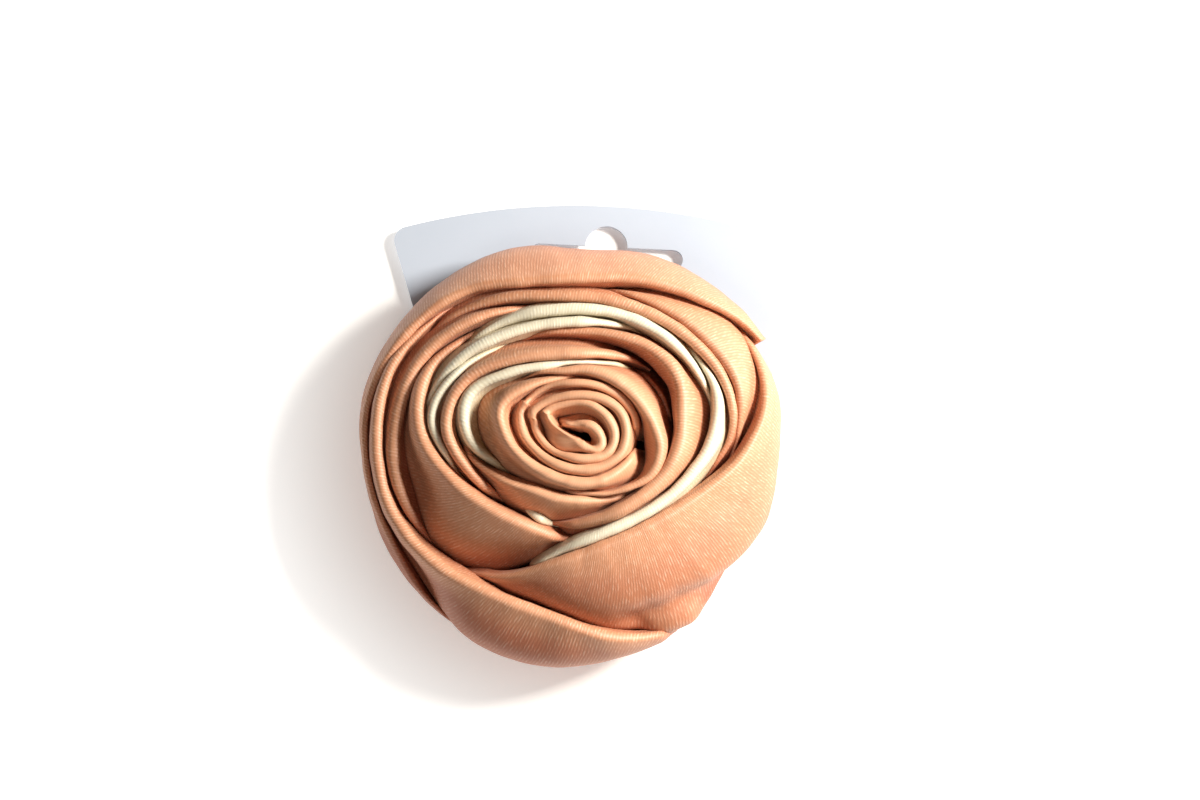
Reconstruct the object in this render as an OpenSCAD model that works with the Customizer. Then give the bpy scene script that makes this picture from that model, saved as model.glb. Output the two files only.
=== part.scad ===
/* [Flower] */
// Width of the flower over its outer petals
flower_w = 85; // [75:1:95]
// Height of the highest fold above the surface
flower_top = 30; // [28:0.5:33]
// Height lost from the middle fold to a fold at the rim
dome_fall = 11; // [8:0.5:12]
// Height at which the outer petals are widest
waist_z = 10; // [9:0.5:11]
// Part of their radius that the petals lose from the waist to the felt
tuck = 0.32; // [0.2:0.02:0.36]
// Sideways lean of the flower's axis for each millimetre below its top
lean = 0.19; // [0:0.01:0.2]
// Thickness of a folded satin wall
wall = 1; // [0.8:0.1:1]
// Angle between two sections of a fold
section_step = 12; // [10:1:15]

/* [Backing] */
// Radius of the felt disc
felt_r = 29; // [27:0.5:31]
// Thickness of the felt disc
felt_t = 1.2; // [1:0.1:1.4]

/* [Card] */
// Width of the card at its top corners
card_w = 90; // [84:1:96]
// Height of the card from its lowest edge to the top of its arch
card_h = 84; // [80:1:88]
// Thickness of the card
card_t = 0.9; // [0.6:0.1:1]
// Radius of the arched top edge
arch_r = 137; // [120:1:160]
// Taper of each side edge
side_taper = 18; // [14:1:19]
// Radius of the card's corners
corner_r = 3; // [2:0.5:5]
// Turn of the card under the flower, clockwise
card_turn = 3; // [0:1:5]
// Length of the hang slot
slot_w = 32; // [28:0.5:34]
// Height of the hang slot at its ends
slot_h = 4.2; // [4:0.1:5]
// Width of the round notch in the middle of the hang slot
notch_w = 8.8; // [8:0.1:10]
// Distance from the top of the arch to the middle of the slot
slot_drop = 10.8; // [10:0.1:12]

/* [Pin] */
// Length of the pin bar
pin_l = 32; // [28:1:36]
// Width of the pin bar
pin_w = 5; // [4:0.5:6]
// Thickness of the pin bar
pin_t = 0.8; // [0.6:0.1:0.8]
// Diameter of the pin's wire
wire_d = 1; // [0.8:0.1:1]

/* [Hidden] */
$fn = 64;
peach = "#dca27a";
cream = "#ece3cc";
// The table below was measured on a flower of this width
table_w = 85;
scale_xy = flower_w / table_w;
// Angle between two values of a row in the table
row_step = 20;
// Columns of the table: angles run anticlockwise from the right, lengths are in mm
NAME = 0;
FIRST = 1;
RIDGE = 2;
FACE = 3;
FALL = 4;
LIFT = 5;
BEAD = 6;
// Each row is one folded strip: its name, the angle where it starts, the radius of its
// ridge at every row_step, how far its outer face reaches out from the ridge, how far
// that face falls, how high the ridge stands over the dome, and its rolled edge's radius.
// The last four columns are spread evenly over the strip's length.
FOLDS = [
    ["bud_core", 150,
        [8.3, 3.9, 2.1, 1.8, 1.7, 1.7, 1.9, 2.3, 3.2, 3.5, 3.2, 2.8, 2.6, 2.5, 2.5,
            2.5, 2.7, 3.1, 4.5],
        [0.9, 4.5, 2.5, 1, 0.7, 0.7, 0.7, 0.8, 0.9, 0.9],
        [1.5, 2.5, 2.5, 2, 2, 2, 2, 2, 2, 2], [-1, -0.5, -0.5, -0.5, -0.5, -1.5],
        [0.6, 0.9, 0.9, 0.7]],
    ["bud_turn_inner", 165,
        [10, 8.3, 6.6, 5.2, 4.5, 4.3, 4.4, 4.8, 5.3, 5.6, 5.7, 5.7, 5.8, 6.1, 6.6,
            7.1, 7.8, 8.9],
        [0.9, 0.9, 0.9, 0.9, 0.6], [2], [-3, 0, 0, 0, 0, -1.5], [0.7, 0.85, 0.85, 0.8]],
    ["bud_turn_outer", 155,
        [13.6, 12.1, 9.8, 8.2, 7.1, 6.5, 6.4, 6.6, 7, 7.6, 7.9, 8.2, 8.4, 8.3, 8.2,
            8.3, 8.9, 10, 11.4],
        [0.9, 1.2, 1.25, 1.2, 0.9, 0.9, 0.9, 0.9, 0.9, 0.8], [2],
        [-2, 0.3, 0.3, 0.3, 0.3, -1], [0.7, 0.9, 0.9, 0.85, 0.85, 0.7]],
    ["bud_band", 5,
        [10.1, 10.4, 10.45, 10.45, 10.55, 11.1, 12.3, 13.2],
        [0.7], [2], [-2, -0.5, 0, -2], [0.6, 0.7, 0.7, 0.45]],
    ["bud_petal_left", 100,
        [12.3, 13.2, 15.1, 17.4, 15.3, 12.6, 10.6, 9.55, 9.15, 9, 9.1, 9.4, 9.9],
        [0.3, 0.7, 2.2, 3.2, 3.5, 2.9, 2.4, 1.7, 1.3, 1.3, 2.2, 3.3, 2.3],
        [2, 2, 4, 5, 5, 4, 4, 3, 3, 3, 4, 5, 4], [-1.5, 0, 0.4, 0.4, 0.4, 0, -1],
        [0.3, 0.9, 1.1, 1.1, 1.1, 0.7]],
    ["bud_petal_right", -110,
        [11.25, 11.05, 11.9, 13.1, 14.75, 14.8, 13.6, 12.8, 12.6, 12.8, 13.3, 13.9, 16.1],
        [0.3, 0.3, 0.3, 0.3, 0.8, 1.9, 2.6, 3.2, 3, 1.9, 1, 0.6, 0.3],
        [1.5, 1.5, 1.5, 2, 3, 4, 5, 5, 5, 4, 3, 2, 2],
        [-2, -1, 0, 0.5, 0.7, 0.7, 0.4, -0.5], [0.3, 0.35, 0.85, 1.1, 1.1, 0.9, 0.3]],
    ["bud_sliver", 10,
        [17, 17.2, 17],
        [0.4], [1.5], [-6, -5, -6], [0.4]],
    ["cream_bud_fold", 60,
        [16.1, 15.1, 15.2, 16.3, 19.7, 24.2, 22.8, 17.7],
        [0.4, 0.4, 1, 1.1, 0.9], [2], [-4, -1, -0.5, -0.5, -4.5],
        [0.3, 0.4, 1, 1.1, 0.9]],
    ["peach_petal_low", 185,
        [23.5, 18.7, 14.7, 13.3, 12.55, 12.9, 13.75],
        [0.6, 1.5, 4.6, 4.3, 3, 1.5, 0.3], [2, 3, 5, 5, 4, 3, 2], [-4, -1, -1, -1.5, -3],
        [0.5, 1, 0.9, 0.3]],
    ["peach_petal_left", 55,
        [18.2, 17, 16.7, 18, 21.3, 26.1, 27.2, 23.9, 20.9],
        [0.5, 1.4, 2, 2.9, 3.1, 1.3, 1, 1, 0.8], [2, 4, 4, 5, 5, 3, 3, 3, 2],
        [-4, 0, 0.5, 0.3, -0.5, -4], [0.4, 1, 1.05, 1, 0.8]],
    ["peach_roll_right", -105,
        [17.8, 16.4, 15.8, 16, 17.1, 18.4, 19.6, 21.8, 21.9, 21.2, 21.3, 22.6],
        [0.8, 1.6, 1.5, 1.8, 2.8, 4.5, 5, 2.3, 1.3, 1, 0.8, 0.5],
        [2, 3, 3, 4, 5, 6, 6, 5, 4, 4, 3, 2], [-3, 0.3, 0.5, 0.5, 0.3, -0.7, -2],
        [0.7, 1.2, 1.3, 1.3, 0.85, 0.5]],
    ["cream_fold_left", 132,
        [24.8, 28.1, 30.3, 26.7],
        [0.4, 0.7, 0.8, 0.5], [2], [-3, -0.5, -0.3, -1.5], [0.3, 0.65, 0.8, 0.5]],
    ["cream_fold_mid", 67,
        [23.6, 23.1, 23.7, 25.7, 29, 31.8],
        [0.4, 0.9, 1.1, 1.2, 1.4, 0.4], [2], [-2, 0, 0, 0, -2], [0.3, 0.9, 1, 1, 0.4]],
    ["cream_fold_top", 20,
        [25.7, 25.6, 25.5, 25.6, 26, 27.7, 29.6],
        [0.4, 1, 1, 1.1, 1.2, 1.1, 0.5], [2], [-1.5, 0, 0, 0, -2], [0.35, 0.9, 1, 1.1, 0.4]],
    ["cream_fold_right", -120,
        [29.9, 22.2, 19.2, 18.7, 19.7, 21.8, 24.9, 27.3, 27.2],
        [0.4, 1, 1, 1, 1.1, 1.4, 2.7, 0.8, 0.2], [2, 2, 2, 2, 2, 3, 5, 3, 2],
        [-3, 0, 0, 0, 0, -1.5], [0.3, 1, 1, 1.1, 1, 0.3]],
    ["wide_petal_left", 137,
        [30.8, 33.7, 32.5, 27.5, 23.4, 21, 20.5],
        [0.6, 1.3, 3.1, 6.5, 12.2, 9.4, 0.6], [2, 5, 6, 8, 10, 10, 2],
        [-4, -0.5, 0, 0.3, -0.5, -3], [0.5, 1.2, 1.3, 1.3, 1]],
    ["band_top", -16.5,
        [25.5, 29.1, 29.6, 28.6, 28, 28.1, 29.3, 33, 37.1],
        [0.4, 0.6, 0.8, 1.1, 1.1, 1.1, 1.3, 1.6, 0.8], [2], [-5, -1, 0, 0, 0, -0.5, -3],
        [0.4, 0.7, 1, 1.1, 1.1, 0.9, 0.5]],
    ["band_left", 112.5,
        [28.7, 32.3, 35.9, 37.2, 38, 37.1],
        [0.4, 1.6, 2.2, 2.3, 1.5, 0.6], [2, 3, 3, 3, 3, 3], [-3, -0.5, -1, -1, -1.5, -4],
        [0.4, 1, 1.1, 1.2, 1.1, 0.7]],
    ["petal_upper_right", -1,
        [30, 32, 31.2, 30.5, 30.2],
        [1, 3.4, 5.3, 2.8, 0.4], [3, 4, 4.5, 4, 2], [-4, -0.5, 0, 0, -2],
        [0.5, 1, 1.2, 0.9, 0.4]],
    ["outer_petal_right", -126,
        [33.9, 26.3, 22.4, 21.3, 22.1, 25.3, 31.4, 36.9, 38],
        [1, 8, 14.8, 19.9, 18.7, 14.8, 7.6, 2.9, 0.7], [3, 7, 9, 12, 15, 14.5, 12, 9.5, 6],
        [-2.5, 0, 0.5, 0.5, 0, -0.5, -1.5, -4], [0.5, 1.2, 1.3, 1.3, 1.3, 1.1, 0.8, 0.5]],
    ["outer_petal_low", 140,
        [38.4, 41, 41.1, 40.8, 38.6, 36.1, 36.4, 40.4, 43.1],
        [0.4, 0.8, 1.7, 1.9, 4, 10.3, 10.2, 4.2, 0.4], [3, 3, 3, 4.5, 8.5, 10, 10, 8, 4],
        [-2, 0, 0, 0, 0, 0, 0, -5], [0.4, 0.9, 1.1, 1.1, 1.3, 1.3, 1.3, 1.1, 0.4]],
    ["outer_petal_top", 30,
        [40.3, 36.5, 33.9, 32.2, 33.6, 38.4, 41.4, 43.7, 43.6, 43.5, 45.2],
        [1.4, 4.1, 6.3, 7.5, 9, 4.8, 2.9, 1.6, 0.5, 1.8, 0.5],
        [7, 10, 12, 13, 12, 9, 8, 7, 6, 6, 4], [-2, 0, 0.5, 0.5, 0, -0.5, -1, -2, -5],
        [0.5, 1.1, 1.2, 1.2, 1.1, 0.8, 0.5, 0.5, 0.4]],
];
// Outer petals start to curve in below the waist and end just over the felt
gap = 0.2;
card_z = wire_d + gap;
pin_z = card_z + card_t + gap;
felt_z = pin_z + pin_t + gap;
foot_z = felt_z + felt_t + gap;
low_z = (waist_z + foot_z) / 2;
// Middle of the flower from the middle of the whole model
flower_x = -1.87;
flower_y = -6;
// Middle of the card's arch and slot from the flower's axis at its top
card_x = 4.9;
card_top_y = 54.4;
slit_clear = 0.5;
// Angles of the points on the roll's inner side and on the face
roll_angles = [120, 60, 0];
face_angles = [30, 60, 90];

// Value of a list at the fraction f of its length, on a smooth curve through its values
function along(list, f) =
    len(list) == 1 ? list[0] :
    let(
        last = len(list) - 1,
        i = min(floor(f * last), last - 1),
        u = f * last - i,
        a = list[max(i - 1, 0)],
        b = list[i],
        c = list[i + 1],
        d = list[min(i + 2, last)]
    )
    b + u * (c - a + u * (2 * a - 5 * b + 4 * c - d + u * (3 * (b - c) + d - a))) / 2;

// Height of the dome that the ridges lie on, at the radius r
function dome(r) = flower_top - dome_fall * pow(r / (table_w / 2), 2);

// Share of its radius that a wall keeps at the height z
function bowl(z) =
    z >= waist_z ? 1 : 1 - tuck * pow((waist_z - z) / (waist_z - foot_z), 2);

// Point at the angle a of a section's point p, which is a radius and a height
function place(p, a) = [
    p.x * bowl(p.y) * scale_xy * cos(a),
    p.x * bowl(p.y) * scale_xy * sin(a) + lean * (flower_top - p.y),
    p.y
];

// Closed section of a folded strip: its rolled edge, its outer face, its foot and back
function section(r, z, face, fall, bead) =
    let(
        skirt_z = z - fall,
        out = r + face,
        thick = min(wall, 1.7 * bead),
        back_face = face - thick,
        back_rise = fall + bead - thick * 1.2
    )
    concat(
        [for (a = roll_angles) [r - bead * sin(a), z + bead * cos(a)]],
        [for (a = face_angles) [r + face * sin(a), skirt_z + (fall + bead) * cos(a)]],
        [[out, low_z], [out, foot_z], [out - thick, foot_z], [out - thick, low_z]],
        [for (i = [2:-1:0]) let(a = face_angles[i])
            [r + back_face * sin(a), skirt_z + back_rise * cos(a)]]
    );

// Section of the row at the fraction f of its length
function row_section(row, f) =
    let(r = along(row[RIDGE], f))
    section(r, dome(r) + along(row[LIFT], f), along(row[FACE], f),
        along(row[FALL], f), along(row[BEAD], f));

// Faces that close the end of a strip whose section has n points: a fan over the roll, then
// quads between the face and the back
function end_faces(n) =
    let(rolled = len(roll_angles))
    concat(
        [for (j = [0:rolled - 1]) [n - 1, j, j + 1]],
        [for (j = [rolled:(n - 1) / 2]) [j, j + 1, n + 1 - j, n + 2 - j]]
    );

// Solid swept round the flower through the sections of a row
module fold(name, tint) {
    row = [for (entry = FOLDS) if (entry[NAME] == name) entry][0];
    span = (len(row[RIDGE]) - 1) * row_step;
    count = ceil(span / section_step);
    points = [for (i = [0:count]) [for (p = row_section(row, i / count))
        place(p, row[FIRST] + span * i / count)]];
    n = len(points[0]);
    sides = [for (i = [0:count - 1]) for (j = [0:n - 1])
        let(a = i * n + j, b = i * n + (j + 1) % n)
        each [[a, b + n, b], [a, a + n, b + n]]];
    first_end = end_faces(n);
    last_end = [for (face = first_end) [for (j = [len(face) - 1:-1:0]) count * n + face[j]]];
    color(tint)
        translate([flower_x, flower_y, 0])
            polyhedron(points = [for (ring = points) each ring],
                faces = concat(first_end, last_end, sides), convexity = 6);
}

// Moves the card's own frame, whose origin is the middle of the arch's top, into place
module on_card() {
    translate([flower_x + card_x, flower_y + card_top_y, card_z])
        rotate(-card_turn)
            children();
}

// Outline of the card: an arched top, tapered sides and rounded corners
module card_outline() {
    foot_w = card_w - 2 * card_h * tan(side_taper);
    edge_drop = arch_r - sqrt(arch_r * arch_r - card_w * card_w / 4);
    offset(corner_r)
        offset(-corner_r)
            intersection() {
                translate([0, -arch_r])
                    circle(arch_r, $fn = 360);
                polygon([
                    [-foot_w / 2, -card_h],
                    [foot_w / 2, -card_h],
                    [card_w / 2, -edge_drop],
                    [card_w / 2 - 6, 0],
                    [6 - card_w / 2, 0],
                    [-card_w / 2, -edge_drop]
                ]);
            }
}

// Hang slot: a long slot with round ends and a round notch over its middle
module slot_outline() {
    translate([0, -slot_drop]) {
        square([slot_w - slot_h, slot_h], center = true);
        for (side = [-1, 1])
            translate([side * (slot_w - slot_h) / 2, 0])
                circle(d = slot_h);
        translate([0, slot_h / 2])
            circle(d = notch_w);
    }
}

module display_card() {
    slit_w = wire_d + 2 * slit_clear;
    color("#eef0f6")
        difference() {
            on_card()
                linear_extrude(card_t)
                    difference() {
                        card_outline();
                        slot_outline();
                    }
            at_pin()
                for (side = [-1, 1])
                    translate([side * pin_post_x(), 0, 0])
                        cube([slit_w + 1, slit_w, 20], center = true);
        }
}

module felt_backing() {
    color("#c99a78")
        at_base()
            translate([0, 0, felt_z])
                cylinder(r = felt_r * scale_xy, h = felt_t);
}

// Moves a piece to the flower's axis at the height of the felt
module at_base() {
    translate([flower_x, flower_y + lean * (flower_top - foot_z), 0])
        children();
}

// The pin lies across the flower, a little over its middle
module at_pin() {
    at_base()
        translate([0, 4, 0])
            children();
}

function pin_post_x() = pin_l / 2 - 3;

// One plain piece: a bar behind the felt, two posts through the card, a wire behind it
module pin_back() {
    color("#c8ccd0")
        at_pin() {
            translate([-pin_l / 2, -pin_w / 2, pin_z])
                cube([pin_l, pin_w, pin_t]);
            for (side = [-1, 1])
                translate([side * pin_post_x(), 0, wire_d / 2])
                    cylinder(d = wire_d, h = pin_z);
            translate([-pin_post_x() - wire_d / 2, 0, wire_d / 2])
                rotate([0, 90, 0])
                    cylinder(d = wire_d, h = 2 * pin_post_x() + wire_d);
        }
}

module bud_core() fold("bud_core", peach);
module bud_turn_inner() fold("bud_turn_inner", peach);
module bud_turn_outer() fold("bud_turn_outer", peach);
module bud_band() fold("bud_band", peach);
module bud_petal_left() fold("bud_petal_left", peach);
module bud_petal_right() fold("bud_petal_right", peach);
module bud_sliver() fold("bud_sliver", peach);
module cream_bud_fold() fold("cream_bud_fold", cream);
module peach_petal_low() fold("peach_petal_low", peach);
module peach_petal_left() fold("peach_petal_left", peach);
module peach_roll_right() fold("peach_roll_right", peach);
module cream_fold_left() fold("cream_fold_left", cream);
module cream_fold_mid() fold("cream_fold_mid", cream);
module cream_fold_top() fold("cream_fold_top", cream);
module cream_fold_right() fold("cream_fold_right", cream);
module wide_petal_left() fold("wide_petal_left", peach);
module band_top() fold("band_top", peach);
module band_left() fold("band_left", peach);
module petal_upper_right() fold("petal_upper_right", peach);
module outer_petal_right() fold("outer_petal_right", peach);
module outer_petal_low() fold("outer_petal_low", peach);
module outer_petal_top() fold("outer_petal_top", peach);

display_card();
felt_backing();
pin_back();
bud_core();
bud_turn_inner();
bud_turn_outer();
bud_band();
bud_petal_left();
bud_petal_right();
bud_sliver();
cream_bud_fold();
peach_petal_low();
peach_petal_left();
peach_roll_right();
cream_fold_left();
cream_fold_mid();
cream_fold_top();
cream_fold_right();
wide_petal_left();
band_top();
band_left();
petal_upper_right();
outer_petal_right();
outer_petal_low();
outer_petal_top();
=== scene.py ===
import math

import bmesh
import bpy
import numpy as np
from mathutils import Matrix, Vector, noise


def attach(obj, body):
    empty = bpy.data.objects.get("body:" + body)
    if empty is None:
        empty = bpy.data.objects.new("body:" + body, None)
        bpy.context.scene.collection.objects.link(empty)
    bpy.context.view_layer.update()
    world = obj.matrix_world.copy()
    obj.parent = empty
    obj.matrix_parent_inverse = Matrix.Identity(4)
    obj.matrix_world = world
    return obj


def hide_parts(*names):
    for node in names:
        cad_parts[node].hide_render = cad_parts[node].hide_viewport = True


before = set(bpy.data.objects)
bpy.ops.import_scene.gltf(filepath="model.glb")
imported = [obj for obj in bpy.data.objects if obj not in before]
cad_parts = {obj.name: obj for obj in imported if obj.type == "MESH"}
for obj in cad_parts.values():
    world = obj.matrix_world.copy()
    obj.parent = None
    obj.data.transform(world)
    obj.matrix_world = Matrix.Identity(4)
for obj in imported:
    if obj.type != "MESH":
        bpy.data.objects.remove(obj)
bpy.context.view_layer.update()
MM = 0.001

# Display card. A die-cut sheet of stiff white plastic with an arched top and a hang slot. The
# rose is pinned through it, so it lies flat and a little above the surface.
CARD_WHITE = (0.50, 0.55, 0.64, 1)
CARD_SHADE = (0.46, 0.51, 0.60, 1)


class Shade:
    """A socket's value in a finish, to which Python's operators add Math nodes."""

    def __init__(self, finish, socket):
        self.finish = finish
        self.socket = socket

    def math(self, operation, *values):
        """The Math node's result for the values, such as a sine of this one."""
        made = self.finish.node("ShaderNodeMath", {"operation": operation}, dict(enumerate(values)))
        return Shade(self.finish, made.outputs[0])

    def __add__(self, other):
        return self.math("ADD", self, other)

    def __radd__(self, other):
        return self.math("ADD", other, self)

    def __sub__(self, other):
        return self.math("SUBTRACT", self, other)

    def __rsub__(self, other):
        return self.math("SUBTRACT", other, self)

    def __mul__(self, other):
        return self.math("MULTIPLY", self, other)

    def __rmul__(self, other):
        return self.math("MULTIPLY", other, self)

    def __truediv__(self, other):
        return self.math("DIVIDE", self, other)

    def __pow__(self, other):
        return self.math("POWER", self, other)

    def sine(self):
        return self.math("SINE", self)

    def kept(self):
        """The value held between 0 and 1."""
        return self.math("MINIMUM", self.math("MAXIMUM", self, 0), 1)


class Finish:
    """A material made of nodes round one Principled shader."""

    def __init__(self, name, constants):
        self.slot = name
        self.material = bpy.data.materials.new(name)
        self.material.use_nodes = True
        self.tree = self.material.node_tree
        self.shader = self.tree.nodes["Principled BSDF"]
        for socket, value in constants.items():
            self.shader.inputs[socket].default_value = value

    def node(self, kind, settings=None, inputs=None):
        """Adds a node: its settings are set first, then the values or links of its sockets."""
        made = self.tree.nodes.new(kind)
        for setting, value in (settings or {}).items():
            setattr(made, setting, value)
        for socket, value in (inputs or {}).items():
            if isinstance(value, Shade):
                self.tree.links.new(value.socket, made.inputs[socket])
            else:
                made.inputs[socket].default_value = value
        return made

    def value(self, kind, output, settings=None, inputs=None):
        """A new node's output, ready for Python's operators."""
        return Shade(self, self.node(kind, settings, inputs).outputs[output])

    def noise(self, place, scale, detail=2.0, roughness=0.5):
        """Soft noise from 0 to 1 over a place, with scale features in a metre of it."""
        return self.value(
            "ShaderNodeTexNoise", 0, {},
            {"Vector": place, "Scale": scale, "Detail": detail, "Roughness": roughness},
        )

    def mix(self, factor, first, second):
        """A colour between the first and the second."""
        made = self.node("ShaderNodeMix", {"data_type": "RGBA"}, {0: factor, 6: first, 7: second})
        return Shade(self, made.outputs[2])

    def feed(self, socket, value):
        """Links a value into one of the shader's sockets."""
        self.tree.links.new(value.socket, self.shader.inputs[socket])

    def bump(self, height, distance, strength=1.0):
        """Raises the surface by the height times the distance, in the shader alone."""
        made = self.node(
            "ShaderNodeBump", {}, {"Height": height, "Distance": distance, "Strength": strength},
        )
        self.feed("Normal", Shade(self, made.outputs[0]))


def paint(node, finish):
    """Gives a node of the frame its finish."""
    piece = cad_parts[node]
    if not piece.material_slots:
        piece.data.materials.append(finish.material)
    for holder in piece.material_slots:
        holder.material = finish.material


def card_finish():
    finish = Finish("white_card", {"Roughness": 0.38, "Coat Weight": 0.15, "Coat Roughness": 0.25})
    place = finish.value("ShaderNodeTexCoord", "Object")
    cloudy = finish.noise(place, 90, 3)
    grain = finish.noise(place, 2600, 2)
    finish.feed("Base Color", finish.mix(cloudy, CARD_WHITE, CARD_SHADE))
    finish.feed("Roughness", 0.34 + 0.1 * cloudy)
    finish.bump(grain, 0.00002, 0.5)
    return finish


paint("display_card", card_finish())

# Brooch pin. A plain flat bar behind the felt with a wire behind the card, all of one piece of
# plated steel, brushed along its length.
PIN_STEEL = (0.60, 0.61, 0.63, 1)
PIN_DULL = (0.42, 0.43, 0.45, 1)


def pin_finish():
    finish = Finish("pin_steel", {"Metallic": 1.0})
    place = finish.value("ShaderNodeTexCoord", "Object")
    along = finish.value("ShaderNodeMapping", 0, {}, {"Vector": place, "Scale": (0.05, 1, 1)})
    brushed = finish.noise(along, 4000, 3)
    worn = finish.noise(place, 300, 3)
    finish.feed("Base Color", finish.mix(worn, PIN_STEEL, PIN_DULL))
    finish.feed("Roughness", 0.26 + 0.2 * brushed)
    finish.bump(brushed, 0.00001, 0.6)
    return finish


paint("pin_back", pin_finish())

# Felt disc. Pressed wool felt that the strips are sewn to. It shows only from the side, under
# the outer petals.
FELT_LIGHT = (0.62, 0.40, 0.26, 1)
FELT_DARK = (0.46, 0.27, 0.16, 1)


def felt_finish():
    finish = Finish("felt", {"Roughness": 0.95, "Sheen Weight": 0.5, "Sheen Roughness": 0.6})
    place = finish.value("ShaderNodeTexCoord", "Object")
    fibre = finish.noise(place, 3500, 6, 0.7)
    cloudy = finish.noise(place, 350, 3)
    mottled = (0.5 * fibre + 0.5 * cloudy).kept()
    finish.feed("Base Color", finish.mix(mottled, FELT_DARK, FELT_LIGHT))
    finish.bump(fibre, 0.0002, 0.8)
    return finish


paint("felt_backing", felt_finish())

# Bud. One narrow peach satin strip, folded in half lengthwise so that its fold is the soft
# rolled edge, wound tightly round itself and sewn through its raw edges at the foot.
# Lengths are in millimetres, radii are from the flower's axis, angles run anticlockwise from
# the right.
# lit and deep are the weave's two tones, low is the painted shade deep between the strips, and glint
# colours the painted highlights on the floats and tints the sheen.
PEACH = dict(
    lit=(0.71, 0.375, 0.215, 1), deep=(0.45, 0.155, 0.068, 1),
    low=(0.34, 0.08, 0.03, 1), glint=(1.0, 0.88, 0.74, 1),
)
# The flower's axis leans by LEAN. The ridges lie under a dome, TOP high at the axis, that falls
# by DOME_FALL at DOME_R. Under the waist the cloth is drawn in, by TUCK of its radius at the foot.
AXIS = (-1.87, -6)
TOP = 30
LEAN = 0.19
DOME_FALL = 11
DOME_R = 42.5
WAIST_Z = 10
FOOT_Z = 4.75
TUCK = 0.32
CLOTH_T = 0.22
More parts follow.
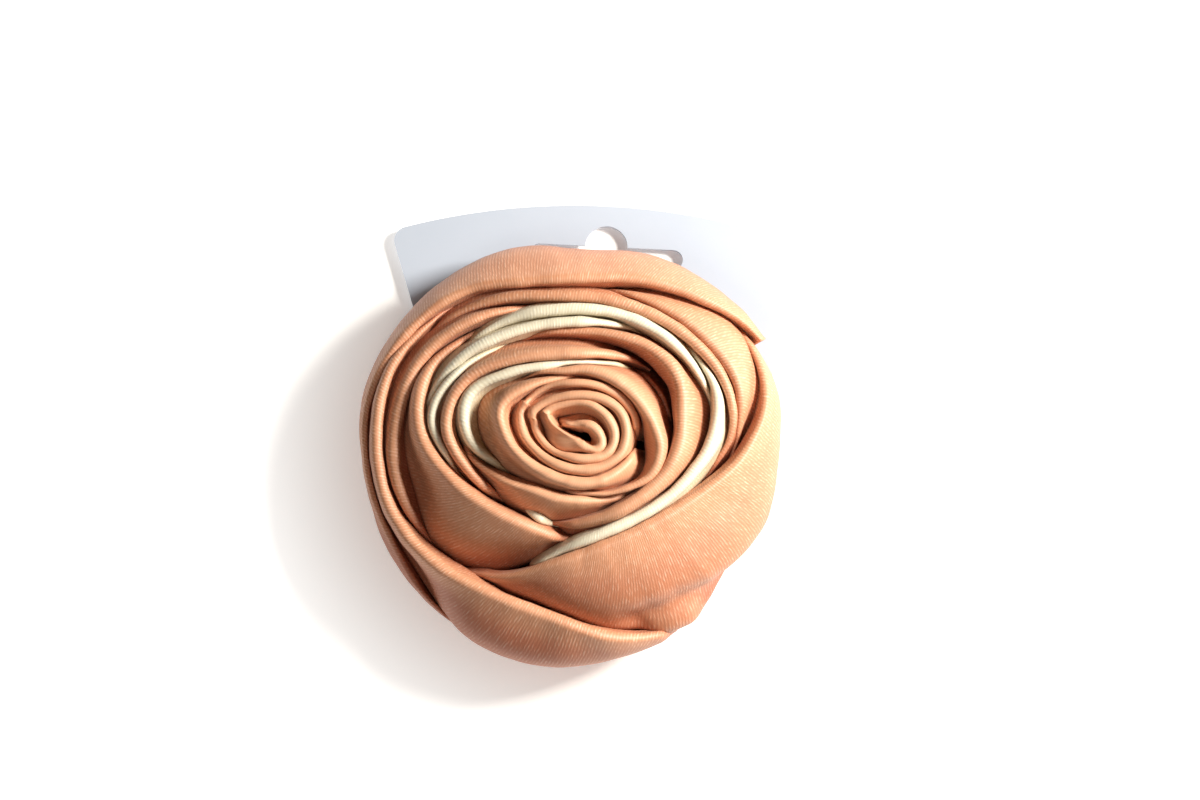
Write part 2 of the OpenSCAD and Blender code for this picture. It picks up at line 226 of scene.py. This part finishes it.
# The strips in the order in which they are wound. Columns: first angle, radius of the ridge at
# every ROW_STEP degrees, reach of the outer face, fall of that face, lift of the ridge over the
# dome and radius of the rolled edge. The last four are spread evenly over the strip.
ROW_STEP = 20
ROSE = {
    "bud_core": (
        150,
        [8.3, 3.9, 2.1, 1.8, 1.7, 1.7, 1.9, 2.3, 3.2, 3.5, 3.2, 2.8, 2.6, 2.5, 2.5, 2.5, 2.7, 3.1, 4.5],
        [0.9, 4.5, 2.5, 1, 0.7, 0.7, 0.7, 0.8, 0.9, 0.9], [1.5, 2.5, 2.5, 2, 2, 2, 2, 2, 2, 2],
        [-1, -0.5, -0.5, -0.5, -0.5, -1.5], [0.6, 0.9, 0.9, 0.7],
    ),
    "bud_turn_inner": (
        165,
        [10, 8.3, 6.6, 5.2, 4.5, 4.3, 4.4, 4.8, 5.3, 5.6, 5.7, 5.7, 5.8, 6.1, 6.6, 7.1, 7.8, 8.9],
        [0.9, 0.9, 0.9, 0.9, 0.6], [2], [-3, 0, 0, 0, 0, -1.5], [0.7, 0.85, 0.85, 0.8],
    ),
    "bud_turn_outer": (
        155,
        [13.6, 12.1, 9.8, 8.2, 7.1, 6.5, 6.4, 6.6, 7, 7.6, 7.9, 8.2, 8.4, 8.3, 8.2, 8.3, 8.9, 10, 11.4],
        [0.9, 1.2, 1.25, 1.2, 0.9, 0.9, 0.9, 0.9, 0.9, 0.8], [2], [-2, 0.3, 0.3, 0.3, 0.3, -1],
        [0.7, 0.9, 0.9, 0.85, 0.85, 0.7],
    ),
    "bud_band": (
        5, [10.1, 10.4, 10.45, 10.45, 10.55, 11.1, 12.3, 13.2], [0.7], [2], [-2, -0.5, 0, -2],
        [0.6, 0.7, 0.7, 0.45],
    ),
    "bud_petal_left": (
        100, [12.3, 13.2, 15.1, 17.4, 15.3, 12.6, 10.6, 9.55, 9.15, 9, 9.1, 9.4, 9.9],
        [0.3, 0.7, 2.2, 3.2, 3.5, 2.9, 2.4, 1.7, 1.3, 1.3, 2.2, 3.3, 2.3],
        [2, 2, 4, 5, 5, 4, 4, 3, 3, 3, 4, 5, 4], [-1.5, 0, 0.4, 0.4, 0.4, 0, -1],
        [0.3, 0.9, 1.1, 1.1, 1.1, 0.7],
    ),
    "bud_petal_right": (
        -110, [11.25, 11.05, 11.9, 13.1, 14.75, 14.8, 13.6, 12.8, 12.6, 12.8, 13.3, 13.9, 16.1],
        [0.3, 0.3, 0.3, 0.3, 0.8, 1.9, 2.6, 3.2, 3, 1.9, 1, 0.6, 0.3],
        [1.5, 1.5, 1.5, 2, 3, 4, 5, 5, 5, 4, 3, 2, 2], [-2, -1, 0, 0.5, 0.7, 0.7, 0.4, -0.5],
        [0.3, 0.35, 0.85, 1.1, 1.1, 0.9, 0.3],
    ),
    "bud_sliver": (
        10, [17, 17.2, 17], [0.4], [1.5], [-6, -5, -6], [0.4],
    ),
    "cream_bud_fold": (
        60, [16.1, 15.1, 15.2, 16.3, 19.7, 24.2, 22.8, 17.7],
        [0.4, 0.4, 1, 1.1, 0.9], [2], [-4, -1, -0.5, -0.5, -4.5], [0.3, 0.4, 1, 1.1, 0.9],
    ),
    "cream_bud_end": (
        229, [18.2, 18.4], [0.4], [1.5], [-4.2, -3.4, -3.3, -4.2], [0.4, 0.7, 0.8, 0.7],
    ),
    "peach_petal_low": (
        185, [23.5, 18.7, 14.7, 13.3, 12.55, 12.9, 13.75], [0.6, 1.5, 4.6, 4.3, 3, 1.5, 0.3],
        [2, 3, 5, 5, 4, 3, 2], [-4, -1, -1, -1.5, -3], [0.5, 1, 0.9, 0.3],
    ),
    "peach_petal_left": (
        55, [18.2, 17, 16.7, 18, 21.3, 26.1, 27.2, 23.9, 20.9],
        [0.5, 1.4, 2, 2.9, 3.1, 1.3, 1, 1, 0.8], [2, 4, 4, 5, 5, 3, 3, 3, 2],
        [-4, 0, 0.5, 0.3, -0.5, -4], [0.4, 1, 1.05, 1, 0.8],
    ),
    "peach_roll_right": (
        -105, [17.8, 16.4, 15.8, 16, 17.1, 18.4, 19.6, 21.8, 21.9, 21.2, 21.3, 22.6],
        [0.8, 1.6, 1.5, 1.8, 2.8, 4.5, 5, 2.3, 1.3, 1, 0.8, 0.5],
        [2, 3, 3, 4, 5, 6, 6, 5, 4, 4, 3, 2], [-3, 0.3, 0.5, 0.5, 0.3, -0.7, -2],
        [0.7, 1.2, 1.3, 1.3, 0.85, 0.5],
    ),
    "cream_fold_left": (
        132, [24.8, 28.1, 30.3, 26.7], [0.4, 0.7, 0.8, 0.5], [2], [-3, -0.5, -0.3, -1.5],
        [0.3, 0.65, 0.8, 0.5],
    ),
    "cream_fold_mid": (
        67, [23.6, 23.1, 23.7, 25.7, 29, 31.8], [0.4, 0.9, 1.1, 1.2, 1.4, 0.4], [2],
        [-2, 0, 0, 0, -2], [0.3, 0.9, 1, 1, 0.4],
    ),
    "cream_fold_top": (
        20, [25.7, 25.6, 25.5, 25.6, 26, 27.7, 29.6], [0.4, 1, 1, 1.1, 1.2, 1.1, 0.5], [2],
        [-1.5, 0, 0, 0, -2], [0.35, 0.9, 1, 1.1, 0.4],
    ),
    "cream_fold_right": (
        -120, [29.9, 22.2, 19.2, 18.7, 19.7, 21.8, 24.9, 27.3, 27.2],
        [0.4, 1, 1, 1, 1.1, 1.4, 2.7, 0.8, 0.2], [2, 2, 2, 2, 2, 3, 5, 3, 2],
        [-3, 0, 0, 0, 0, -1.5], [0.3, 1, 1, 1.1, 1, 0.3],
    ),
    "wide_petal_left": (
        137, [30.8, 33.7, 32.5, 27.5, 23.4, 21, 20.5], [0.6, 1.3, 3.1, 6.5, 12.2, 9.4, 0.6],
        [2, 5, 6, 8, 10, 10, 2], [-4, -0.5, 0, 0.3, -0.5, -3], [0.5, 1.2, 1.3, 1.3, 1],
    ),
    "band_top": (
        -16.5, [25.5, 29.1, 29.6, 28.6, 28, 28.1, 29.3, 33, 37.1],
        [0.4, 0.6, 0.8, 1.1, 1.1, 1.1, 1.3, 1.6, 0.8], [2], [-5, -1, 0, 0, 0, -0.5, -3],
        [0.4, 0.7, 1, 1.1, 1.1, 0.9, 0.5],
    ),
    "band_left": (
        112.5, [28.7, 32.3, 35.9, 37.2, 38, 37.1], [0.4, 1.6, 2.2, 2.3, 1.5, 0.6],
        [2, 3, 3, 3, 3, 3], [-3, -0.5, -1, -1, -1.5, -4], [0.4, 1, 1.1, 1.2, 1.1, 0.7],
    ),
    "petal_upper_right": (
        -1, [30, 32, 31.2, 30.5, 30.2], [1, 3.4, 5.3, 2.8, 0.4], [3, 4, 4.5, 4, 2],
        [-4, -0.5, 0, 0, -2], [0.5, 1, 1.2, 0.9, 0.4],
    ),
    "outer_petal_right": (
        -126, [33.9, 26.3, 22.4, 21.3, 22.1, 25.3, 31.4, 36.9, 38],
        [1, 8, 14.8, 19.9, 18.7, 14.8, 7.6, 2.9, 0.7], [3, 7, 9, 12, 15, 14.5, 12, 9.5, 6],
        [-2.5, 0, 0.5, 0.5, 0, -0.5, -1.5, -4], [0.5, 1.2, 1.3, 1.3, 1.3, 1.1, 0.8, 0.5],
    ),
    "outer_petal_low": (
        140, [38.4, 41, 41.1, 40.8, 38.6, 36.1, 36.4, 40.4, 43.1],
        [0.4, 0.8, 1.7, 1.9, 4, 10.3, 10.2, 4.2, 0.4], [3, 3, 3, 4.5, 8.5, 10, 10, 8, 4],
        [-2, 0, 0, 0, 0, 0, 0, -5], [0.4, 0.9, 1.1, 1.1, 1.3, 1.3, 1.3, 1.1, 0.4],
    ),
    "outer_petal_top": (
        30, [40.3, 36.5, 33.9, 32.2, 33.6, 38.4, 41.4, 43.7, 43.6, 43.5, 45.2],
        [1.4, 4.1, 6.2, 6.7, 8.2, 4.8, 2.9, 1.6, 0.5, 1.8, 0.5],
        [7, 10, 12, 13, 12, 9, 8, 7, 6, 6, 4], [-2, 0, 0.5, 0.5, 0, -0.5, -1, -2, -5],
        [0.5, 1.1, 1.2, 1.2, 1.1, 0.8, 0.5, 0.5, 0.4],
    ),
}
# A strip runs on past its table by TAIL degrees. It thins out over them and over TAPER degrees
# before them, and sinks by up to SINK.
TAIL = 9
TAPER = 10
SINK = 3
# Degrees of tail at the start and the end of a strip, where it differs from the others. A
# negative one ends the strip before its table does.
TAILS = dict(
    outer_petal_top=(1, 9), outer_petal_low=(9, -5), cream_fold_right=(-7, 9),
    bud_petal_left=(9, 7), cream_bud_end=(9, 9),
    bud_core=(4, 9), bud_turn_inner=(6, 4), bud_turn_outer=(6, 6), bud_band=(9, 6),
)
# Ends that run on into the next turn of the bud, with the radius and the lift that they share.
JOINTS = {
    ("bud_band", "end"): (13.5, -1.2), ("bud_turn_outer", "start"): (13.5, -1.2),
    ("bud_turn_outer", "end"): (10.9, -1.8), ("bud_turn_inner", "start"): (10.9, -1.8),
    ("bud_turn_inner", "end"): (9, -1.0), ("bud_core", "start"): (9, -1.0),
}


def along(values, share):
    """The value at a share of a list's length, on a smooth curve through its values."""
    if len(values) == 1:
        return values[0]
    last = len(values) - 1
    i = min(int(share * last), last - 1)
    t = share * last - i
    a, b, c, d = values[max(i - 1, 0)], values[i], values[i + 1], values[min(i + 2, last)]
    return b + t * (c - a + t * (2 * a - 5 * b + 4 * c - d + t * (3 * (b - c) + d - a))) / 2


def curve(start, start_way, end, end_way, steps, bow=0.42):
    """Points of a smooth curve between two points with given directions, the first left out."""
    start, end = Vector(start), Vector(end)
    pull = (end - start).length * bow
    a, b = start + Vector(start_way) * pull, end - Vector(end_way) * pull
    points = []
    for i in range(1, steps + 1):
        t = i / steps
        s = 1 - t
        points.append(s**3 * start + 3 * s * s * t * a + 3 * s * t * t * b + t**3 * end)
    return points


class Fold:
    """A strip's measures at one angle."""

    def __init__(self, name, angle):
        first, ridge, faces, falls, lifts, beads = ROSE[name]
        span = (len(ridge) - 1) * ROW_STEP
        share = min(1, max(0, (angle - first) / span))
        past = max(first - angle, angle - first - span, 0)
        at_start = angle - first < first + span - angle
        near = min(angle - first, first + span - angle)
        tail = TAILS.get(name, (TAIL, TAIL))[0 if at_start else 1]
        ease = min(1, max(0, (near + tail) / (tail + TAPER)))
        ease = ease * ease * (3 - 2 * ease)
        self.past = past
        joint = JOINTS.get((name, "start" if at_start else "end"))
        loss = 0 if joint else (1 - ease) * (1 if tail < 0 else max(0.4, tail / TAIL))
        self.bead = along(beads, share) * (1 - 0.8 * loss)
        self.face = along(faces, share) * (1 - 0.75 * loss)
        self.fall = along(falls, share)
        drift = ridge[0] - ridge[1] if at_start else ridge[-1] - ridge[-2]
        self.radius, lift = along(ridge, share), along(lifts, share)
        if joint:
            self.radius += (joint[0] - self.radius) * past / tail
            lift += (joint[1] - lift) * past / tail
        else:
            self.radius += past * drift / ROW_STEP
        self.height = TOP - DOME_FALL * (self.radius / DOME_R) ** 2 + lift
        self.height -= SINK * loss ** 1.5


def rooms_beside(name, angle):
    """How far the strip's outer face stands from the next rolled edge outside it, and its own
    rolled edge from the next face inside it."""
    own = Fold(name, angle)
    outside, inside = [], []
    for other, row in ROSE.items():
        turned = angle + 360 * round((row[0] + (len(row[1]) - 1) * ROW_STEP / 2 - angle) / 360)
        for there in (Fold(other, turned + turn) for turn in (-360, 0, 360)):
            if there.past == 0 and there.radius > own.radius + 0.3:
                outside.append(there.radius - 0.4 * there.bead - own.radius - own.face)
            if there.past == 0 and there.radius < own.radius - 0.3:
                inside.append(own.radius - own.bead - there.radius - there.face)
    return min(outside, default=0), min(inside, default=own.radius - 1.2)


# The grid's rows at the foot, up the inner layer, over the rolled edge and down the face, which
# has twice as many where it reaches out by more than WIDE_FACE.
FOOT_ROWS = 2
LAYER_ROWS = 5
ROLL_ROWS = 8
RIDGE_ROW = FOOT_ROWS + LAYER_ROWS + ROLL_ROWS - 1
FACE_ROWS = 7
WIDE_FACE = 6


def fold_section(fold, flare, bulge, face_steps):
    """A folded strip's section as (radius, height) points: up its inner layer from the foot,
    over the rolled edge, down its outer face, out to the next strip and in under the flower."""
    r, z, face, fall, bead = fold.radius, fold.height, fold.face, fold.fall, fold.bead
    skirt, out = z - fall, r + face
    thick = min(1.0, 1.7 * bead)
    slope = 0.8 * math.atan2(fall + bead, face)
    under = math.radians(115)
    roll = [
        Vector((r + bead * math.sin(t), z + bead * math.cos(t)))
        for t in np.linspace(-under, slope, ROLL_ROWS)
    ]
    way_in = (-math.cos(under), -math.sin(under))
    low = (r - bead - bulge, z - 2.5 - bulge)
    inner = curve(roll[0], way_in, low, (0, -1), 2)
    foot_in = (max(out - thick, low[0] + 0.2), skirt - 3 - bulge)
    inner += curve(low, (0.3, -1), foot_in, (0.2, -1), LAYER_ROWS - 2)
    lean = math.atan2(flare, flare + 1.5)
    outer = curve(
        roll[-1], (math.cos(slope), -math.sin(slope)),
        (out, skirt), (math.sin(lean), -math.cos(lean)), face_steps,
    )
    reach = out + flare
    waist = min(skirt - 3.4 - max(flare, bulge), WAIST_Z + 0.4)
    foot = [waist, waist - 0.45 * (waist - FOOT_Z), waist - 0.75 * (waist - FOOT_Z), FOOT_Z]
    back = [Vector((out - thick, height)) for height in reversed(foot[::2])]
    skirts = [Vector((out + 0.8 * flare, skirt - 0.6 - 0.6 * flare))]
    skirts += [Vector((reach, height)) for height in foot]
    return back + inner[::-1] + roll + outer + skirts


# How far a skirt may flare out and an inner layer bulge in to fill the room beside them.
MOST_FLARE = 2.4
MOST_BULGE = 4
# The grid's columns are COLUMN_MM wide, or turn by COLUMN_TURN degrees where that is less. In a
# turn tighter than TIGHT_R it is TIGHT_TURN degrees.
COLUMN_MM = 0.78
COLUMN_TURN = 2.2
TIGHT_TURN = 3.5
TIGHT_R = 9
# The cloth's unevenness: how far a ridge wavers, what share its edge swells by, the ripples in
# its surface, and how many gathers there are round the foot and how deep they are.
WAVER = 0.3
SWELL = 0.12
RIPPLE = 0.14
FINE_RIPPLE = 0.05
GATHERS = 34
GATHER = 0.006
# Painted shade: the colour is at its darkest and fullest this deep under the dome.
FULL_SHADE_DEPTH = 5
# How much faster than that the painted shade deepens down a strip, at its start and at its end.
SHADE_TONES = dict(
    bud_core=(0.15, 0.4), bud_turn_inner=(0.15, 0.15), bud_turn_outer=(0.15, 0.15),
    bud_band=(0.5, 0.3), bud_petal_left=(0.2, 0.1), peach_petal_left=(0.9, 0.3),
    cream_bud_end=(0.7, 0.3), peach_petal_low=(0.5, 0.5), peach_roll_right=(1, 1.5),
    wide_petal_left=(0.4, 0.9), outer_petal_low=(1, 1), outer_petal_right=(1.2, 0.1),
    outer_petal_top=(0.3, 2), petal_upper_right=(0.3, 0.3), band_left=(1, 1.5),
)
# Painted shade over the whole face of a strip whose face lies in the open, at its start and
# at its end, fullest where the face turns from the light.
FACE_SHADES = dict(outer_petal_low=(2.4, 0.5), outer_petal_right=(1, 0.1), outer_petal_top=(0, 1.1))


class Strip:
    """A strip's sizes and its section at each column of its grid of cloth."""

    def __init__(self, name):
        first, ridge, faces = ROSE[name][:3]
        before, after = TAILS.get(name, (TAIL, TAIL))
        span = (len(ridge) - 1) * ROW_STEP
        start, turn = first - before, span + before + after
        self.seed = sum(map(ord, name))
        self.mean_r = sum(ridge) / len(ridge)
        self.shade_tones = SHADE_TONES.get(name, (1, 1))
        self.face_shades = FACE_SHADES.get(name, (0, 0))
        self.face_rows = 2 * FACE_ROWS if max(faces) > WIDE_FACE else FACE_ROWS
        column_turn = TIGHT_TURN if self.mean_r < TIGHT_R else COLUMN_TURN
        self.columns = int(max(turn / column_turn, self.arc(turn) / COLUMN_MM))
        self.angles = [start + turn * i / self.columns for i in range(self.columns + 1)]
        rooms = [rooms_beside(name, angle) for angle in self.angles]
        rooms = np.clip(rooms, 0, (MOST_FLARE, MOST_BULGE))
        self.sections = []
        for i, angle in enumerate(self.angles):
            fold = Fold(name, angle)
            fold.bead *= 1 + SWELL * noise.noise(Vector((self.arc(angle) / 5, self.seed, 7)))
            fold.height += WAVER * noise.noise(Vector((self.arc(angle) / 9, self.seed, 0)))
            flare, bulge = rooms[max(0, i - 6):i + 7].mean(axis=0)
            self.sections.append(fold_section(fold, flare, 0.6 * bulge, self.face_rows))
        self.rows = len(self.sections[0])
        self.across = np.cumsum([0] + [
            np.mean([(s[j + 1] - s[j]).length for s in self.sections]) for j in range(self.rows - 1)
        ])
        middle_face = Fold(name, first + span / 2).face
        self.length = math.radians(turn) * (self.mean_r + middle_face / 2)

    def arc(self, angle):
        """The length of the strip over an angle in degrees."""
        return math.radians(angle) * self.mean_r

    def spot(self, column, row, creases):
        """Radius and height of a point of the grid, with the cloth's ripples and creases."""
        section, angle = self.sections[column], self.angles[column]
        ahead = section[min(row + 1, self.rows - 1)] - section[max(row - 1, 0)]
        outward = Vector((-ahead.y, ahead.x)).normalized()
        arc, length = self.arc(angle), self.across[row]
        ripple = noise.noise(Vector((arc / 4, length / 5, self.seed)))
        fine = noise.noise(Vector((arc / 1.6, length / 6, self.seed + 3)))
        spot = section[row] + outward * (RIPPLE * ripple + FINE_RIPPLE * fine)
        for where, height in creases:
            if row < FOOT_ROWS + LAYER_ROWS:
                spot -= outward * height * where(angle, 1 - (row - FOOT_ROWS) / LAYER_ROWS)
            else:
                spot += outward * height * where(angle, (row - RIDGE_ROW) / self.face_rows)
        return spot

    def depth(self, column, row, spot):
        """How much painted shade a point of the grid gets, from 0 to 1."""
        shade_rate, face_shade_rate = (
            start + (end - start) * column / self.columns
            for start, end in (self.shade_tones, self.face_shades)
        )
        on_face = min(1, max(0, 3 * (row - RIDGE_ROW) / self.face_rows))
        under_dome = TOP - DOME_FALL * (spot.x / DOME_R) ** 2 - spot.y
        return min(1, max(0, under_dome / FULL_SHADE_DEPTH * shade_rate, min(0.95, face_shade_rate) * on_face))

    def place(self, column, spot):
        """The frame's place of a radius and height in a column's section, drawn in at the foot."""
        angle = math.radians(self.angles[column])
        below = max(0.0, (WAIST_Z - spot.y) / (WAIST_Z - FOOT_Z))
        gather = math.sin(angle * GATHERS + 3 * noise.noise(Vector((angle * 5, self.seed, 1))))
        radius = spot.x * (1 - TUCK * below * below) * (1 + GATHER * below * gather)
        return Vector((
            AXIS[0] + radius * math.cos(angle),
            AXIS[1] + radius * math.sin(angle) + LEAN * (TOP - spot.y),
            spot.y,
        )) * MM


def make_strip(name, finish, creases=(), node=None):
    """One folded strip: a flat grid of cloth laid over its fold, with its thickness. The node
    of the frame that it dresses has its name, or the one given."""
    strip = Strip(name)
    mesh = bmesh.new()
    bmesh.ops.create_grid(mesh, x_segments=strip.columns, y_segments=strip.rows - 1, size=0.5)
    layer = mesh.loops.layers.uv.new("cloth")
    # The painted shade of each point is kept on the vertices for the finish.
    depth = mesh.verts.layers.float.new("depth")
    grid = {}
    for vert in mesh.verts:
        column = round((vert.co.x + 0.5) * strip.columns)
        row = round((vert.co.y + 0.5) * (strip.rows - 1))
        grid[vert] = (column, row)
        spot = strip.spot(column, row, creases)
        vert[depth] = strip.depth(column, row, spot)
        vert.co = strip.place(column, spot)
    for quad in mesh.faces:
        for loop in quad.loops:
            column, row = grid[loop.vert]
            loop[layer].uv = (strip.length * column / strip.columns, strip.across[row])
        quad.smooth = True
    made = bpy.data.meshes.new(name)
    mesh.to_mesh(made)
    mesh.free()
    piece = bpy.data.objects.new("satin_" + name, made)
    bpy.context.scene.collection.objects.link(piece)
    piece.data.materials.append(finish.material)
    smooth = piece.modifiers.new("smooth", "SUBSURF")
    smooth.levels = smooth.render_levels = 1
    cloth = piece.modifiers.new("cloth", "SOLIDIFY")
    cloth.thickness = CLOTH_T * MM
    cloth.offset = 0
    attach(piece, "root")
    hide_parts(node or name)
    return piece


# Spacing of the weave's lines, and in metres where the bud's fine weave ends and over what
# length the others' takes its place.
TWILL = 0.6
BUD_R = 0.010
BUD_BLEND = 0.012


def satin_finish(name, lit, deep, low, glint):
    """Satin weave: twill lines across the strip, broken into floats, with a broad pale gloss and
    painted pale glints on the floats.
    It is finer to the eye in the tight bud, and painted lighter there. Deep between the strips,
    where little light comes out again, painted shade makes the colour darker and fuller."""
    finish = Finish(name, {
        "Specular IOR Level": 0.75, "Sheen Weight": 0.06,
        "Sheen Roughness": 0.4, "Sheen Tint": glint,
    })
    cloth = finish.value("ShaderNodeUVMap", 0, {"uv_map": "cloth"})
    place = finish.value("ShaderNodeTexCoord", "Object")
    parts = finish.node("ShaderNodeSeparateXYZ", {}, {0: cloth})
    s, t = Shade(finish, parts.outputs[0]), Shade(finish, parts.outputs[1])
    wander = finish.noise(cloth, 0.35, 2)
    lines = (math.tau / TWILL * (s * 0.93 + t * 0.36 + wander * 0.5)).sine() * 0.5 + 0.5
    floats = finish.value(
        "ShaderNodeMapping", 0, {},
        {"Vector": cloth, "Rotation": (0, 0, 0.37), "Scale": (2.4, 0.8, 1)},
    )
    broken = ((finish.noise(floats, 1.0, 2, 0.6) - 0.35) * 3).kept()
    threads = finish.noise(cloth, 5.0, 2, 0.6)
    from_bud = finish.value(
        "ShaderNodeVectorMath", "Value", {"operation": "DISTANCE"},
        {0: place, 1: (AXIS[0] * MM, AXIS[1] * MM, TOP * MM)},
    )
    coarse = ((from_bud - BUD_R) / BUD_BLEND).kept()
    weave = lines * (0.2 + 0.8 * broken) * (0.3 + 0.55 * coarse) + 0.25 * threads
    # Painted light: nearer the bud the colour is lifted toward the lit tone.
    weave = (weave + 0.6 * (1 - coarse)).kept()
    cloudy = finish.noise(place, 120, 3)
    body = finish.mix((0.75 * weave + 0.45 * cloudy).kept(), deep, lit)
    # Painted shade: the colour turns to the low one deep between the strips.
    depth = finish.value("ShaderNodeAttribute", "Fac", {"attribute_name": "depth"})
    shaded_body = finish.mix((depth ** 1.3 * 0.8).kept(), body, low)
    # Painted highlight: pale glints on the floats, painted into the colour away from the bud.
    shine = 0.27 * lines * (broken - 0.45) * coarse
    finish.feed("Base Color", finish.mix(shine.kept(), shaded_body, glint))
    finish.feed("Roughness", (0.48 + 0.1 * broken + 0.08 * (1 - lines)).kept())
    finish.bump(weave, 0.00006, 0.8)
    return finish


peach_satin = satin_finish("peach_satin", **PEACH)
for name in ("bud_core", "bud_turn_inner", "bud_turn_outer", "bud_band"):
    make_strip(name, peach_satin)

# Folds that close round the bud. Wider peach strips, each started under the last one, with one
# cream strip between them, whose end shows once more at the foot of the low petal. Their faces
# lean outwards where they have room.
# lit and deep are the weave's two tones, low is the painted shade deep between the strips, and glint
# colours the painted highlights on the floats and tints the sheen.
CREAM = dict(
    lit=(0.76, 0.71, 0.57, 1), deep=(0.62, 0.54, 0.38, 1),
    low=(0.45, 0.30, 0.13, 1), glint=(1.0, 0.98, 0.93, 1),
)
cream_satin = satin_finish("cream_satin", **CREAM)
make_strip("cream_bud_fold", cream_satin)
make_strip("cream_bud_end", cream_satin, node="cream_bud_fold")
for name in (
    "bud_petal_left", "bud_petal_right", "bud_sliver",
    "peach_petal_low", "peach_petal_left", "peach_roll_right",
):
    make_strip(name, peach_satin)

# Cream ring. Four narrow cream strips whose rolled edges lie side by side round the bud, each
# running out under the next.
for name in ("cream_fold_left", "cream_fold_mid", "cream_fold_top", "cream_fold_right"):
    make_strip(name, cream_satin)

# Bands outside the cream ring. Peach strips with rounder rolled edges, one with a broad face
# that shows at the lower left.
for name in ("wide_petal_left", "band_top", "band_left", "petal_upper_right"):
    make_strip(name, peach_satin)

# Outer petals. Three wide strips of peach satin that wrap the whole flower. Their broad faces
# fall to the waist and are gathered in under it, where they are sewn to the felt.


def crease(points, breadth, face_mm, radius_mm):
    """A share from 0 to 1 that is 1 on a line through some (angle, share of the face) points."""
    def flat(angle, share):
        return Vector((math.radians(angle) * radius_mm, share * face_mm))

    spots = [flat(*point) for point in points]
    middle = sum(angle for angle, share in points) / len(points)

    def where(angle, share):
        point = flat(angle - 360 * round((angle - middle) / 360), share)
        offs = []
        for a, b in zip(spots, spots[1:]):
            t = min(1, max(0, (point - a).dot(b - a) / (b - a).length_squared))
            offs.append((point - a - (b - a) * t).length)
        return math.exp(-((min(offs) / breadth) ** 2))

    return where


# A slack fold in the right petal: a valley from its edge to the low petal's ridge and the puff
# of cloth that it leaves under it.
VALLEY = ((-36, 1.08), (-50, 0.86), (-60, 0.79), (-68, 0.83), (-73, 0.91))
PUFF = ((-60, 1.0), (-64, 0.98), (-69, 1.02))
CREASES = {
    "outer_petal_right": [(crease(VALLEY, 3.9, 20, 36), -2.6), (crease(PUFF, 2.4, 20, 36), 1.9)],
}
for name in ("outer_petal_right", "outer_petal_low", "outer_petal_top"):
    make_strip(name, peach_satin, CREASES.get(name, ()))

# Studio. A plain pale floor with painted light: it glows, though it is no lamp, dimly near the
# flower and more away from it. A bright light from the right, a weak one overhead, a dim warm
# sky, and a camera almost straight above.
FLOOR_WHITE = (0.90, 0.90, 0.88, 1)
FLOOR_GREY = (0.88, 0.88, 0.87, 1)
GLOW_NEAR = (0.33, 0.31, 0.30, 1)
GLOW_FAR = (1.0, 1.0, 1.0, 1)
GLOW_R = 0.045
GLOW_BLEND = 0.025


def floor_finish():
    finish = Finish("floor", {"Roughness": 0.7, "Emission Strength": 0.75})
    place = finish.value("ShaderNodeTexCoord", "Object")
    far = finish.value("ShaderNodeVectorMath", "Value", {"operation": "LENGTH"}, {0: place})
    # Painted light: the floor glows, dimly near the flower and fully further out, where it washes out
    # the flower's shadow.
    away = ((far - GLOW_R) / GLOW_BLEND).kept()
    finish.feed("Emission Color", finish.mix(away, GLOW_NEAR, GLOW_FAR))
    finish.feed("Base Color", finish.mix(finish.noise(place, 4, 2), FLOOR_WHITE, FLOOR_GREY))
    return finish


ground = bmesh.new()
bmesh.ops.create_grid(ground, x_segments=1, y_segments=1, size=3)
floor_mesh = bpy.data.meshes.new("floor")
ground.to_mesh(floor_mesh)
ground.free()
floor = bpy.data.objects.new("floor", floor_mesh)
bpy.context.scene.collection.objects.link(floor)
floor.data.materials.append(floor_finish().material)

middle = Vector((AXIS[0], AXIS[1], TOP)) * MM


def add_light(name, azimuth, elevation, far, size, power, colour):
    """A square soft light that looks at the flower from angles round it and above it."""
    light = bpy.data.lights.new(name, "AREA")
    light.size = size
    light.energy = power
    light.color = colour
    a, e = math.radians(azimuth), math.radians(elevation)
    away = Vector((math.cos(a) * math.cos(e), math.sin(a) * math.cos(e), math.sin(e)))
    lamp = bpy.data.objects.new(name, light)
    lamp.location = middle + away * far
    lamp.rotation_euler = away.to_track_quat("Z", "Y").to_euler()
    bpy.context.scene.collection.objects.link(lamp)


add_light(
    "key", azimuth=19, elevation=36, far=0.38, size=0.11, power=3.6, colour=(1.0, 0.965, 0.89),
)
add_light(
    "above", azimuth=-120, elevation=60, far=0.5, size=0.2, power=0.65, colour=(1.0, 0.95, 0.88),
)
sky = bpy.data.worlds.new("sky")
sky.use_nodes = True
backdrop = sky.node_tree.nodes["Background"]
backdrop.inputs["Color"].default_value = (1.0, 0.72, 0.50, 1)
backdrop.inputs["Strength"].default_value = 0.045
bpy.context.scene.world = sky
bpy.context.scene.view_settings.view_transform = "Standard"

# The camera's height above the surface as an angle, its distance from the middle ridge, and in
# pixels the picture's size, the lens and where the flower's axis stands in the picture.
CAMERA_TILT = math.radians(79)
CAMERA_FAR = 484.07
IMAGE_W, IMAGE_H = 1200, 800
PIXEL_LENS = 2502.6
AXIS_ACROSS, AXIS_DOWN = 585, 437
lens = bpy.data.cameras.new("camera")
lens.sensor_width = 36
lens.lens = PIXEL_LENS * lens.sensor_width / IMAGE_W
lens.shift_x = (IMAGE_W / 2 - AXIS_ACROSS) / IMAGE_W
lens.shift_y = (AXIS_DOWN - IMAGE_H / 2) / IMAGE_W
lens.clip_start = 0.01
camera = bpy.data.objects.new("camera", lens)
back = Vector((0, -math.cos(CAMERA_TILT), math.sin(CAMERA_TILT)))
camera.location = middle + back * CAMERA_FAR * MM
camera.rotation_euler = back.to_track_quat("Z", "Y").to_euler()
bpy.context.scene.collection.objects.link(camera)
bpy.context.scene.camera = camera
